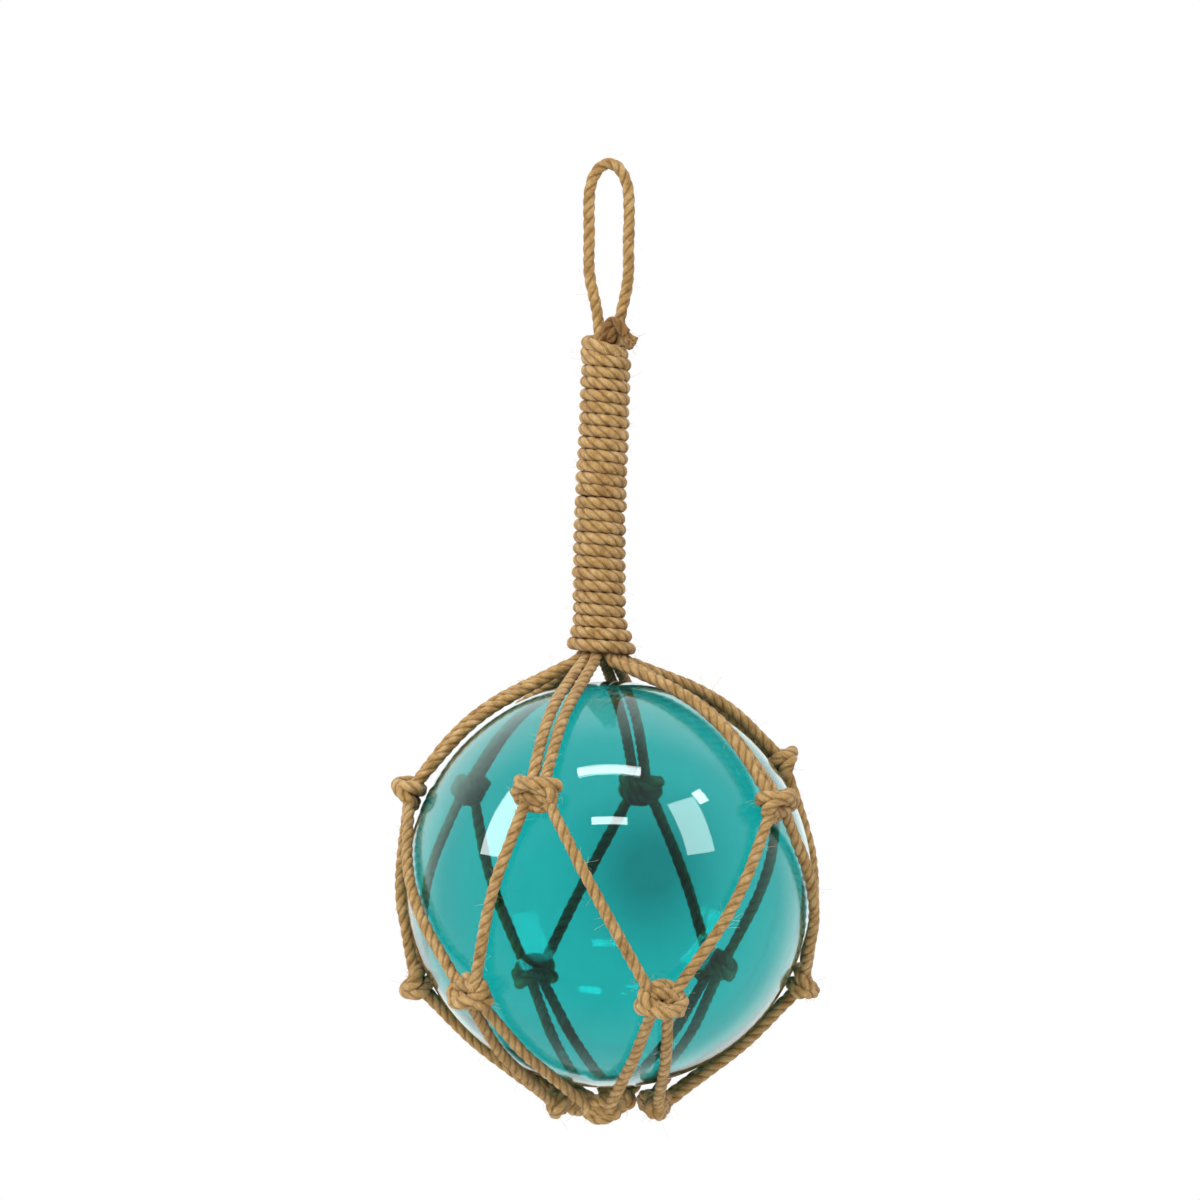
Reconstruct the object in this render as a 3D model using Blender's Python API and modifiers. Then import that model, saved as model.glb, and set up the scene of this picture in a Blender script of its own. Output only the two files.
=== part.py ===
"""A teal glass float in a knotted jute net, with a rope-wound handle and a hanging loop.

The float hangs by its loop. The origin is the point inside the top of the loop where a peg
or hook carries it, +Z is up, and -Y is the front. Bearings are degrees seen from above,
0 at the front and rising towards +X.
"""

import math

import bmesh
import bpy
from mathutils import Vector

# Driving dimensions, in metres
ROPE_DIAMETER = 0.0058
TOUCH_GAP = 0.0003
FLOAT_DIAMETER = 0.200

LOOP_LENGTH = 0.0815
LOOP_EYE_WIDTH = 0.0138
LOOP_ARCH_HEIGHT = 0.018
LOOP_TAPER_LENGTH = 0.034
LOOP_LEG_GAP = 0.0036
LOOP_TAIL_LENGTH = 0.014

HANDLE_LENGTH = 0.1575
HANDLE_DIAMETER = 0.0246
HANDLE_RIB_DEPTH = 0.0014
HANDLE_TOP_LEAN = 0.0014
HANDLE_BOW = 0.0035
HANDLE_BOW_SHARE = 0.75
HANDLE_FOOT_COVER = 0.0008
FLARE_START_TURNS = 1.8
FLARE_LENGTH_TURNS = 1.6

CROWN_GAP = 0.013
UPPER_CORD_STANDOFF = 0.0028
BASE_KNOT_CLEARANCE = 0.0095
BASE_RING_RADIUS = 0.0255
BASE_END_LENGTH = 0.005

# Each pair's upper knot, and the lower knot left of it: bearing, and height over the float's centre
UPPER_KNOTS = ((-90, 0.046), (-21, 0.049), (54, 0.042), (107, 0.060), (170, 0.046), (228, 0.047))
LOWER_KNOTS = ((-98, -0.050), (-44, -0.049), (15, -0.051), (95, -0.050), (145, -0.048), (204, -0.051))
BASE_BEARINGS = (-95, -9, 73, 122, 171, 218)
CROWN_BEARINGS = (-87, -27, 41, 99, 159, 217)
CROWN_SLACK = 1.1

# Shape of a knot's turn, as shares of the rope's diameter
KNOT_TURN_SHARE = 0.93
KNOT_BULGE = 1.1
BASE_KNOT_BULGE = 0.6
KNOT_REAR_SHARE = 0.9

# Sizes that follow from those above
PAIRS = len(UPPER_KNOTS)
CORDS = 2 * PAIRS
ROPE_RADIUS = ROPE_DIAMETER / 2
FLOAT_RADIUS = FLOAT_DIAMETER / 2
HALF_PITCH = (ROPE_DIAMETER + TOUCH_GAP) / 2
SEAT_RADIUS = FLOAT_RADIUS + ROPE_RADIUS + TOUCH_GAP
KNOT_TURN_HEIGHT = KNOT_TURN_SHARE * ROPE_DIAMETER
KNOT_RADIUS = FLOAT_RADIUS + KNOT_TURN_HEIGHT + ROPE_RADIUS + TOUCH_GAP
KNOT_HALF_WIDTH = HALF_PITCH + KNOT_BULGE * ROPE_DIAMETER
BASE_KNOT_HALF_WIDTH = HALF_PITCH + BASE_KNOT_BULGE * ROPE_DIAMETER
BASE_KNOT_DROP = FLOAT_RADIUS + BASE_KNOT_CLEARANCE
CROWN_RADIUS = CROWN_SLACK * HALF_PITCH / math.sin(math.pi / CORDS)
HANDLE_FOOT_RADIUS = CROWN_RADIUS + ROPE_RADIUS + HANDLE_FOOT_COVER
HANDLE_TOP = -LOOP_LENGTH
HANDLE_FOOT = HANDLE_TOP - HANDLE_LENGTH
FLOAT_CENTRE = Vector((0, 0, HANDLE_FOOT - CROWN_GAP - FLOAT_RADIUS))

# How finely the shapes are faceted
FLOAT_SEGMENTS = 28
ROPE_BEVEL_RESOLUTION = 1
HANDLE_SEGMENTS = 10
STEPS_CROWN_TO_KNOT = 5
STEPS_KNOT_TO_KNOT = 6
STEPS_KNOT_TO_BASE = 4
STEPS_CROSSING = 8
STEPS_LOOP_LEG = 7
STEPS_LOOP_ARCH = 8
STEPS_LOOP_END = 10
WELD_DISTANCE = 0.00001

JUTE_TAN = (0.55, 0.35, 0.145)
JUTE_BROWN = (0.36, 0.19, 0.07)
SEA_TEAL = (0.05, 0.45, 0.44)


def smooth_step(t):
    """Ease from 0 to 1 as t goes from 0 to 1."""
    t = min(max(t, 0), 1)
    return t * t * (3 - 2 * t)


def clear_scene():
    """Remove the scene's own objects."""
    for old in list(bpy.data.objects):
        bpy.data.objects.remove(old)


def make_collection(name):
    """Return a new collection under the scene's own."""
    group = bpy.data.collections.new(name)
    bpy.context.scene.collection.children.link(group)
    return group


def plain_material(name, colour, roughness, transmission=0):
    """Return a Principled material of one colour."""
    material = bpy.data.materials.new(name)
    material.use_nodes = True
    shader = material.node_tree.nodes["Principled BSDF"]
    shader.inputs["Base Color"].default_value = (*colour, 1)
    shader.inputs["Roughness"].default_value = roughness
    shader.inputs["Transmission Weight"].default_value = transmission
    shader.inputs["Metallic"].default_value = 0
    return material


def object_from_mesh(name, mesh, group, material=None):
    """Put a mesh into the scene as a named object, shaded smooth."""
    mesh.name = name
    mesh.shade_smooth()
    made = bpy.data.objects.new(name, mesh)
    group.objects.link(made)
    if material:
        mesh.materials.clear()
        mesh.materials.append(material)
    return made


def mesh_from_object(source):
    """Return the evaluated mesh of an object with its doubles welded, and remove the object."""
    bpy.context.view_layer.update()
    depsgraph = bpy.context.evaluated_depsgraph_get()
    mesh = bpy.data.meshes.new_from_object(source.evaluated_get(depsgraph))
    mesh.transform(source.matrix_world)
    bpy.data.objects.remove(source)
    shape = bmesh.new()
    shape.from_mesh(mesh)
    bmesh.ops.remove_doubles(shape, verts=shape.verts, dist=WELD_DISTANCE)
    shape.to_mesh(mesh)
    shape.free()
    return mesh


def rope_mesh(name, runs, group):
    """Sweep rope along each run, a list of (point, thickness factor) from end to end."""
    curve = bpy.data.curves.new(name, "CURVE")
    curve.dimensions = "3D"
    curve.bevel_depth = ROPE_RADIUS
    curve.bevel_resolution = ROPE_BEVEL_RESOLUTION
    curve.use_fill_caps = True
    for run in runs:
        spline = curve.splines.new("POLY")
        spline.points.add(len(run) - 1)
        for handle, (point, thickness) in zip(spline.points, run):
            handle.co = (*point, 1)
            handle.radius = thickness
    path = bpy.data.objects.new(name, curve)
    group.objects.link(path)
    return mesh_from_object(path)


def join_solids(target, runs, cutters):
    """Fuse the rope runs with the target object by a union."""
    name = target.name + "_turns"
    turns = object_from_mesh(name, rope_mesh(name, runs, cutters), cutters)
    turns.hide_render = True
    turns.display_type = "WIRE"
    union = target.modifiers.new("fuse_turns", "BOOLEAN")
    union.operation = "UNION"
    union.solver = "EXACT"
    union.object = turns


def bearing_vector(bearing):
    """Return the level unit vector that points at a bearing."""
    angle = math.radians(bearing)
    return Vector((math.sin(angle), -math.cos(angle), 0))


def handle_lean(drop):
    """Return how far the handle's middle stands from the axis at a share of its length."""
    bow = (1 - math.cos(math.pi * drop / HANDLE_BOW_SHARE)) / 2
    return -HANDLE_TOP_LEAN - HANDLE_BOW * bow


class Knot:
    """A knot of two cords: its place on the net, and the directions across, up and out."""

    def __init__(self, bearing, height, radius, half_width, rear_rise):
        level = bearing_vector(bearing)
        reach = math.sqrt(radius ** 2 - height ** 2)
        self.centre = level * reach + Vector((0, 0, height))
        self.out = self.centre.normalized()
        self.across = bearing_vector(bearing + 90)
        self.up = self.out.cross(self.across)
        self.half_width = half_width
        self.rear_rise = rear_rise

    def cord_point(self, side):
        """Return where the cord on this side passes through, measured from the float's centre."""
        return self.centre + self.across * side * HALF_PITCH

    def turn(self, side):
        """Return this side's half of the rope turn round both cords, front to rear."""
        width = self.half_width
        height = KNOT_TURN_HEIGHT
        rear = self.rear_rise
        front = -0.25 * rear
        half_gap = TOUCH_GAP / 2
        outline = (
            (half_gap, front, height, 1.25),
            (0.40 * width, front, height, 1.25),
            (0.82 * width, 0.8 * front, 0.72 * height, 1.15),
            (width, 0.4 * rear, -0.15 * height, 1.05),
            (0.62 * width, rear, -height, 1),
            (half_gap, rear, -height, 1),
        )
        run = []
        for across, up, out, thickness in outline:
            place = self.centre + self.across * side * across + self.up * up + self.out * out
            run.append((FLOAT_CENTRE + place, thickness))
        return run


def taut_span(start, end, seat, steps):
    """Return points of a taut cord from start to end over a ball of radius seat, without start.

    The cord runs straight until it touches the ball, follows it, and leaves it straight.
    All points are measured from the float's centre.
    """
    sweep = start.angle(end)
    lift_start = math.acos(min(1, seat / start.length))
    lift_end = math.acos(min(1, seat / end.length))
    points = []
    for step in range(1, steps + 1):
        share = step / steps
        turned = sweep * share
        bend = max(0, lift_start - turned, lift_end - (sweep - turned))
        direction = start.normalized().slerp(end.normalized(), share)
        points.append(direction * seat / math.cos(bend))
    return points


def crown_point(pair, side):
    """Return where a cord comes out under the handle's foot, measured from the float's centre."""
    across = bearing_vector(CROWN_BEARINGS[pair] + 90)
    reach = math.sqrt(CROWN_RADIUS ** 2 - HALF_PITCH ** 2)
    place = bearing_vector(CROWN_BEARINGS[pair]) * reach + across * side * HALF_PITCH
    place.x += handle_lean(1)
    place.z = CROWN_GAP + FLOAT_RADIUS - ROPE_RADIUS - TOUCH_GAP
    return place


def make_knots():
    """Return the upper, lower and base knots, each a list in the order of the pairs."""
    rear = KNOT_REAR_SHARE * ROPE_DIAMETER
    base_radius = math.hypot(BASE_RING_RADIUS, BASE_KNOT_DROP)
    upper = [Knot(bearing, height, KNOT_RADIUS, KNOT_HALF_WIDTH, -rear)
             for bearing, height in UPPER_KNOTS]
    lower = [Knot(bearing, height, KNOT_RADIUS, KNOT_HALF_WIDTH, rear)
             for bearing, height in LOWER_KNOTS]
    base = [Knot(bearing, -BASE_KNOT_DROP, base_radius, BASE_KNOT_HALF_WIDTH, rear)
            for bearing in BASE_BEARINGS]
    return upper, lower, base


def make_cord(pair, side, knots, group, cutters):
    """Make one cord of the net, from the handle's foot to its end under the float."""
    upper, lower, base = knots
    upper_knot = upper[pair]
    lower_knot = lower[(pair + 1) % PAIRS] if side > 0 else lower[pair]
    base_knot = base[pair]

    # A cord stays on its own side of its pair's knots, and on the inner side of the lower knot
    start = crown_point(pair, side)
    at_upper = upper_knot.cord_point(side)
    at_lower = lower_knot.cord_point(-side)
    at_base = base_knot.cord_point(side)
    places = [start]
    upper_seat = SEAT_RADIUS + UPPER_CORD_STANDOFF
    places += taut_span(start, at_upper, upper_seat, STEPS_CROWN_TO_KNOT)
    places += taut_span(at_upper, at_lower, SEAT_RADIUS, STEPS_KNOT_TO_KNOT)
    places += taut_span(at_lower, at_base, SEAT_RADIUS, STEPS_KNOT_TO_BASE)
    places.append(at_base - base_knot.up * BASE_END_LENGTH)

    name = "net_cord_%d_%s" % (pair + 1, "right" if side > 0 else "left")
    run = [(FLOAT_CENTRE + place, 1) for place in places]
    material = plain_material(name + "_jute", JUTE_TAN, 0.9)
    cord = object_from_mesh(name, rope_mesh(name, [run], group), group, material)
    turns = [upper_knot.turn(side), lower_knot.turn(-side), base_knot.turn(side)]
    join_solids(cord, turns, cutters)


def make_float(group):
    """Make the glass ball as one solid."""
    shape = bmesh.new()
    bmesh.ops.create_uvsphere(
        shape, u_segments=FLOAT_SEGMENTS, v_segments=FLOAT_SEGMENTS // 2, radius=FLOAT_RADIUS)
    bmesh.ops.translate(shape, verts=shape.verts, vec=FLOAT_CENTRE)
    mesh = bpy.data.meshes.new("glass_float")
    shape.to_mesh(mesh)
    shape.free()
    object_from_mesh("glass_float", mesh, group, plain_material("teal_glass", SEA_TEAL, 0.02, 1))


def wound_mesh(group):
    """Return the wound rope of the handle: a ribbed screw shape, closed by a flat top and foot."""
    turns = math.floor(HANDLE_LENGTH / ROPE_DIAMETER)
    pitch = HANDLE_LENGTH / turns
    ridge = HANDLE_DIAMETER / 2
    valley = ridge - HANDLE_RIB_DEPTH
    profile = bpy.data.meshes.new("handle_profile")
    outline = [(valley, 0, 0), (ridge, 0, -0.3 * pitch), (ridge, 0, -0.7 * pitch), (valley, 0, -pitch)]
    profile.from_pydata(outline, [(0, 1), (1, 2), (2, 3)], [])
    spool = bpy.data.objects.new("handle_profile", profile)
    group.objects.link(spool)
    screw = spool.modifiers.new("wind", "SCREW")
    screw.angle = math.tau
    screw.screw_offset = -pitch
    screw.iterations = turns - 1
    screw.steps = HANDLE_SEGMENTS
    screw.render_steps = HANDLE_SEGMENTS
    mesh = mesh_from_object(spool)

    shape = bmesh.new()
    shape.from_mesh(mesh)
    middle_radius = (ridge + valley) / 2
    for is_top in (True, False):
        rim = [edge for edge in shape.edges
               if edge.is_boundary and (edge.verts[0].co.z > -HANDLE_LENGTH / 2) == is_top]
        level = 0 if is_top else -HANDLE_LENGTH
        for vert in {vert for edge in rim for vert in edge.verts}:
            in_valley = math.hypot(vert.co.x, vert.co.y) < middle_radius
            if in_valley and abs(vert.co.z - level) < 0.97 * pitch:
                vert.co.z = level
        cap = bmesh.ops.extrude_edge_only(shape, edges=rim)["geom"]
        tips = [item for item in cap if isinstance(item, bmesh.types.BMVert)]
        bmesh.ops.pointmerge(shape, verts=tips, merge_co=(0, 0, level))
    bmesh.ops.recalc_face_normals(shape, faces=shape.faces)

    # The winding widens over the cords at its foot, and its middle bows to one side
    for vert in shape.verts:
        drop = -vert.co.z / HANDLE_LENGTH
        flare = smooth_step((drop * turns - turns + FLARE_START_TURNS) / FLARE_LENGTH_TURNS)
        widening = 1 + flare * (HANDLE_FOOT_RADIUS / ridge - 1)
        vert.co.x = vert.co.x * widening + handle_lean(drop)
        vert.co.y *= widening
        vert.co.z += HANDLE_TOP
    shape.to_mesh(mesh)
    shape.free()
    return mesh


def make_handle(group, cutters):
    """Make the wound handle, with the last turn that crosses the others at its top."""
    material = plain_material("wound_jute", JUTE_TAN, 0.9)
    handle = object_from_mesh("wrapped_handle", wound_mesh(group), group, material)
    crossing = []
    half_sweep = 75
    for step in range(STEPS_CROSSING + 1):
        share = step / STEPS_CROSSING
        # Both ends dive into the winding, and the middle stands a little proud of it
        sunk = 1.7 * abs(2 * share - 1) ** 3
        radius = HANDLE_DIAMETER / 2 + (0.1 - sunk / 2) * ROPE_RADIUS
        place = bearing_vector(half_sweep * (2 * share - 1)) * radius
        place.x -= HANDLE_TOP_LEAN
        place.z = HANDLE_TOP - ROPE_DIAMETER * (0.55 + 1.5 * share)
        crossing.append((place, 1))
    join_solids(handle, [crossing], cutters)


def loop_half_width(height):
    """Return how far the loop's rope runs from its middle at a height."""
    widest = LOOP_EYE_WIDTH / 2 + ROPE_RADIUS
    narrowest = LOOP_LEG_GAP / 2 + ROPE_RADIUS
    taper = smooth_step((-LOOP_LENGTH + LOOP_TAPER_LENGTH - height) / LOOP_TAPER_LENGTH)
    return widest + (narrowest - widest) * taper


def make_loop(group, cutters):
    """Make the hanging loop, with the knot and the tail of its end on the right leg."""
    crown = ROPE_RADIUS
    spring = crown - LOOP_ARCH_HEIGHT
    foot = HANDLE_TOP + TOUCH_GAP
    leg = [foot + (spring - foot) * step / STEPS_LOOP_LEG for step in range(STEPS_LOOP_LEG)]
    left = [(Vector((-loop_half_width(height), 0, height)), 1) for height in leg]
    right = [(Vector((loop_half_width(height), 0, height)), 1) for height in reversed(leg)]
    arch = []
    for step in range(STEPS_LOOP_ARCH + 1):
        angle = math.pi * step / STEPS_LOOP_ARCH
        across = -math.cos(angle) * loop_half_width(spring)
        arch.append((Vector((across, 0, spring + math.sin(angle) * LOOP_ARCH_HEIGHT)), 1))
    mesh = rope_mesh("hanging_loop", [left + arch + right], group)
    loop = object_from_mesh("hanging_loop", mesh, group, plain_material("loop_jute", JUTE_BROWN, 0.9))

    # The end goes once round both legs and leaves to the right as a short tail
    narrowest = loop_half_width(foot)
    knot_height = foot + 1.35 * ROPE_DIAMETER
    end = []
    for step in range(STEPS_LOOP_END + 1):
        angle = math.tau * (0.08 + 0.86 * step / STEPS_LOOP_END)
        across = (narrowest + 0.75 * ROPE_DIAMETER) * math.cos(angle)
        deep = 0.85 * ROPE_DIAMETER * math.sin(angle)
        rise = ROPE_DIAMETER * (0.5 - 0.9 * step / STEPS_LOOP_END)
        end.append((Vector((across, deep, knot_height + rise)), 1))
    last = end[-1][0]
    for share, thickness in ((0.35, 0.9), (0.7, 0.8), (1, 0.6)):
        slide = Vector((0.72, -0.12, -0.68)) * LOOP_TAIL_LENGTH * share
        end.append((last + slide, thickness))
    join_solids(loop, [end], cutters)


def build():
    """Build the whole object."""
    clear_scene()
    group = make_collection("rope_wrapped_glass_ball")
    cutters = make_collection("cutters")
    make_float(group)
    make_handle(group, cutters)
    make_loop(group, cutters)
    knots = make_knots()
    for pair in range(PAIRS):
        for side in (-1, 1):
            make_cord(pair, side, knots, group, cutters)


build()
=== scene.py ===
# %% [markdown]
# # A glass net float on its rope
# This lesson dresses a imported CAD model of a net float: a ball of teal blown glass in a net
# of jute cords, below a handle wound with the same rope and a loop to hang it by.
# Everything is in metres, with the origin inside the top of the loop, where a peg carries it.
# The first cell loads the CAD model, and each piece made here stands for one of its nodes.

# %% Load the frame
import math
import random

import bmesh
import bpy
from mathutils import Matrix, Vector, noise


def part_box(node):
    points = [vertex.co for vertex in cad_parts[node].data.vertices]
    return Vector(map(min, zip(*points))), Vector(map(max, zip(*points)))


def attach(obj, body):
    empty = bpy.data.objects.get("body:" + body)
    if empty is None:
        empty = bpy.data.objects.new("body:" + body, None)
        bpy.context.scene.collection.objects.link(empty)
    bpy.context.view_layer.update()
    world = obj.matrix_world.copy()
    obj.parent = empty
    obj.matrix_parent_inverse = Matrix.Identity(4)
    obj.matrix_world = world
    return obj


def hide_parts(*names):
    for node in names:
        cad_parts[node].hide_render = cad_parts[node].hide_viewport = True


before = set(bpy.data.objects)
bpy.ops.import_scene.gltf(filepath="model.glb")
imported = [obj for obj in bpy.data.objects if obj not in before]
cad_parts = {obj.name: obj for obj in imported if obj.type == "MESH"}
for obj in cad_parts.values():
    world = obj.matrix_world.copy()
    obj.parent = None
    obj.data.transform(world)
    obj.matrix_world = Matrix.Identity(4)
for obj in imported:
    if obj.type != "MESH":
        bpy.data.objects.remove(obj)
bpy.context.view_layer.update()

# %% [markdown]
# ## The sizes
# The glass and the rope set nearly everything. The float is an 8-inch ball, and the rope is
# common 6 mm jute. Where the pieces sit is read from the CAD nodes' own boxes where it can
# be, so that the looks stay on the model that was checked.

# %% Sizes shared by all the pieces
ROPE_DIAMETER = 0.0058
ROPE_RADIUS = ROPE_DIAMETER / 2
TOUCH_GAP = 0.0003
HALF_PITCH = (ROPE_DIAMETER + TOUCH_GAP) / 2
FULL_TURN = 2 * math.pi

glass_low, glass_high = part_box("glass_float")
FLOAT_CENTRE = (glass_low + glass_high) / 2
FLOAT_RADIUS = (glass_high.z - glass_low.z) / 2
handle_low, handle_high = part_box("wrapped_handle")
HANDLE_TOP = handle_high.z
HANDLE_FOOT = handle_low.z
HANDLE_LENGTH = HANDLE_TOP - HANDLE_FOOT
print("glass radius", round(FLOAT_RADIUS, 4), "handle length", round(HANDLE_LENGTH, 4))

# %% [markdown]
# ## The camera
# The picture is a catalogue shot: a long lens, level, a little above the middle of the
# object, so the ropes at the back of the ball stand slightly higher than those in front.
# The shift only moves the frame down, so that the level camera still centres the object.

# %% Camera
PHOTO_WIDTH = 1200
MM_PER_PIXEL = 0.4926
PHOTO_EYE_ROW = 650
PHOTO_LOOP_COLUMN = 609
PHOTO_LOOP_ROW = 169.5
SENSOR_WIDTH = 36
CAMERA_DISTANCE = 2.2

frame_width = PHOTO_WIDTH * MM_PER_PIXEL / 1000
camera_data = bpy.data.cameras.new("camera")
camera_data.sensor_width = SENSOR_WIDTH
camera_data.lens = SENSOR_WIDTH * CAMERA_DISTANCE / frame_width
camera_data.shift_y = (PHOTO_EYE_ROW - PHOTO_WIDTH / 2) / PHOTO_WIDTH
camera = bpy.data.objects.new("camera", camera_data)
bpy.context.scene.collection.objects.link(camera)
camera_x = (PHOTO_WIDTH / 2 - PHOTO_LOOP_COLUMN) * MM_PER_PIXEL / 1000
camera_z = (PHOTO_LOOP_ROW - PHOTO_EYE_ROW) * MM_PER_PIXEL / 1000
camera.location = (camera_x, -CAMERA_DISTANCE, camera_z)
camera.rotation_euler = (math.radians(90), 0, 0)
bpy.context.scene.camera = camera
print("lens", round(camera_data.lens, 1), "mm")

# %% [markdown]
# ## Nodes in one line
# Each material is a small tree of nodes. One helper adds a node, sets its values and links
# its inputs, so that a tree reads from top to bottom like a recipe.

# %% Helpers for materials
def linear(hex_colour):
    """Turn an sRGB hex colour into linear RGBA."""
    parts = [int(hex_colour[i:i + 2], 16) / 255 for i in (0, 2, 4)]
    return [p / 12.92 if p <= 0.04045 else ((p + 0.055) / 1.055) ** 2.4 for p in parts] + [1]


def add_node(tree, kind, inputs=None, links=None, **settings):
    """Add a node with its settings, its input values and its links (input: output socket)."""
    node = tree.nodes.new(kind)
    for name, value in settings.items():
        setattr(node, name, value)
    for name, value in (inputs or {}).items():
        node.inputs[name].default_value = value
    for name, source in (links or {}).items():
        tree.links.new(source, node.inputs[name])
    return node


def set_ramp(node, stops):
    """Give a colour ramp its stops, a list of (position, hex colour)."""
    ramp = node.color_ramp
    while len(ramp.elements) < len(stops):
        ramp.elements.new(0.5)
    for element, (position, colour) in zip(ramp.elements, stops):
        element.position = position
        element.color = linear(colour)


def new_material(name):
    """Return a new material, its tree and its Principled shader."""
    material = bpy.data.materials.new(name)
    material.use_nodes = True
    return material, material.node_tree, material.node_tree.nodes["Principled BSDF"]


# %% [markdown]
# ## Teal glass
# A net float is blown soda-lime glass: clear, smooth and thin. The pale band at its rim
# shows a thin wall, where the eye looks along the glass and sees it reflect. A single tinted
# solid would act as a strong lens and go dark at the rim, so the wall is made as two
# surfaces, a nearly clear outer skin and a tinted inner one. The faint waves of blown glass
# are a low bump of long, soft noise.

# %% Glass materials
GLASS_IOR = 1.52
GLASS_WALL = 0.0016
SKIN_WAVE = 0.0004
LINING_WAVE = 0.0006


def glass_material(name, tint, wave):
    """Return clear glass with a plain tint, gently uneven from blowing."""
    material, tree, shader = new_material(name)
    shader.inputs["Base Color"].default_value = linear(tint)
    shader.inputs["Roughness"].default_value = 0
    shader.inputs["IOR"].default_value = GLASS_IOR
    shader.inputs["Transmission Weight"].default_value = 1
    place = add_node(tree, "ShaderNodeTexCoord")
    waves = add_node(tree, "ShaderNodeTexNoise", {"Scale": 14, "Detail": 1},
                     {"Vector": place.outputs["Object"]})
    bump = add_node(tree, "ShaderNodeBump", {"Strength": 1, "Distance": wave},
                    {"Height": waves.outputs["Fac"]})
    tree.links.new(bump.outputs["Normal"], shader.inputs["Normal"])
    return material, tree, shader, waves


clear_skin = glass_material("blown_glass_clear_skin", "c6eceb", SKIN_WAVE)[0]
teal_lining, lining_tree, lining_shader, lining_waves = glass_material(
    "blown_glass_teal_lining", "20b8b6", LINING_WAVE)

# The glass is deepest round the seal, where the bubble was closed at the back of the ball
SEAL_SPOT = FLOAT_CENTRE + Vector((0.24, 0.97, 0.02)) * FLOAT_RADIUS
SEAL_REACH = 0.062
seal_place = add_node(lining_tree, "ShaderNodeTexCoord")
seal_distance = add_node(lining_tree, "ShaderNodeVectorMath", {1: SEAL_SPOT},
                         {0: seal_place.outputs["Object"]}, operation="DISTANCE")
seal_depth = add_node(lining_tree, "ShaderNodeMapRange", {"From Min": SEAL_REACH, "From Max": 0},
                      {"Value": seal_distance.outputs["Value"]}, interpolation_type="SMOOTHSTEP")
uneven = add_node(lining_tree, "ShaderNodeMath", {1: 0.3, 2: -0.08},
                  {0: lining_waves.outputs["Fac"]}, operation="MULTIPLY_ADD")
tint_depth = add_node(lining_tree, "ShaderNodeMath", None,
                      {0: uneven.outputs[0], 1: seal_depth.outputs["Result"]}, operation="ADD")
tints = add_node(lining_tree, "ShaderNodeValToRGB", None, {"Fac": tint_depth.outputs[0]})
set_ramp(tints, [(0.0, "1cc0be"), (1.0, "0a6c6d")])
lining_tree.links.new(tints.outputs["Color"], lining_shader.inputs["Base Color"])

# %% [markdown]
# ## Jute rope
# Jute is a bast fibre: golden tan and dull. Its grooves, where the strands meet, are painted
# darker as painted shade. The rope's own map runs along it in U, in millimetres, and once
# round it in V. So fibres are noise stretched along U, and the painted shade in the grooves
# between the three strands is a cosine of V. The strands turn with the lay, but their yarns
# turn back the other way, so the fibres lie nearly straight: V is slid back along the rope
# before the noise is read.

# %% Rope materials
ROPE_LAY = 0.017
FIBRE_LENGTH_MM = 4.5
FIBRES_ROUND = 64
YARN_TURN_BACK = 0.75


def rope_material(name, light, middle, dark, groove_shade):
    """Return natural jute in four tones: three fibre tones and a painted shade for its grooves."""
    material, tree, shader = new_material(name)
    shader.inputs["Roughness"].default_value = 0.8
    shader.inputs["Specular IOR Level"].default_value = 0.25
    shader.inputs["Sheen Weight"].default_value = 0.2
    shader.inputs["Sheen Roughness"].default_value = 0.5
    rope_map = add_node(tree, "ShaderNodeUVMap", uv_map="rope")
    parts = add_node(tree, "ShaderNodeSeparateXYZ", None, {"Vector": rope_map.outputs["UV"]})
    slid = add_node(tree, "ShaderNodeMath", {1: YARN_TURN_BACK / (ROPE_LAY * 1000)},
                    {0: parts.outputs["X"], 2: parts.outputs["Y"]}, operation="MULTIPLY_ADD")
    straight = add_node(tree, "ShaderNodeCombineXYZ", None, {"X": parts.outputs["X"], "Y": slid.outputs[0]})
    stretched = add_node(tree, "ShaderNodeMapping", {"Scale": (1 / FIBRE_LENGTH_MM, FIBRES_ROUND, 1)},
                         {"Vector": straight.outputs["Vector"]})
    fibres = add_node(tree, "ShaderNodeTexNoise", {"Scale": 1, "Detail": 3, "Roughness": 0.6},
                      {"Vector": stretched.outputs["Vector"]})
    place = add_node(tree, "ShaderNodeTexCoord")
    patches = add_node(tree, "ShaderNodeTexNoise", {"Scale": 190, "Detail": 3, "Roughness": 0.6},
                       {"Vector": place.outputs["Object"]})
    blend = add_node(tree, "ShaderNodeMix", {"Factor": 0.4},
                     {"A": fibres.outputs["Fac"], "B": patches.outputs["Fac"]})
    yarn = add_node(tree, "ShaderNodeValToRGB", None, {"Fac": blend.outputs["Result"]})
    set_ramp(yarn, [(0.36, dark), (0.49, middle), (0.62, light)])
    # Painted shade: the yarn colour is darkened towards the last tone in the grooves between strands
    wave = add_node(tree, "ShaderNodeMath", {1: 3 * FULL_TURN}, {0: parts.outputs["Y"]}, operation="MULTIPLY")
    lobes = add_node(tree, "ShaderNodeMath", None, {0: wave.outputs[0]}, operation="COSINE")
    depth = add_node(tree, "ShaderNodeMapRange", {"From Min": -0.3, "From Max": -1, "To Max": 0.5},
                     {"Value": lobes.outputs[0]})
    # A colour mix has its factor in input 0, its colours in 6 and 7 and its result in output 2
    shade = add_node(tree, "ShaderNodeMix", {7: linear(groove_shade)},
                     {0: depth.outputs["Result"], 6: yarn.outputs["Color"]}, data_type="RGBA")
    tree.links.new(shade.outputs[2], shader.inputs["Base Color"])
    bump = add_node(tree, "ShaderNodeBump", {"Strength": 0.9, "Distance": 0.0005},
                    {"Height": fibres.outputs["Fac"]})
    tree.links.new(bump.outputs["Normal"], shader.inputs["Normal"])
    return material


# The last colour of each rope is the painted shade in the grooves between its strands
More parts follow.
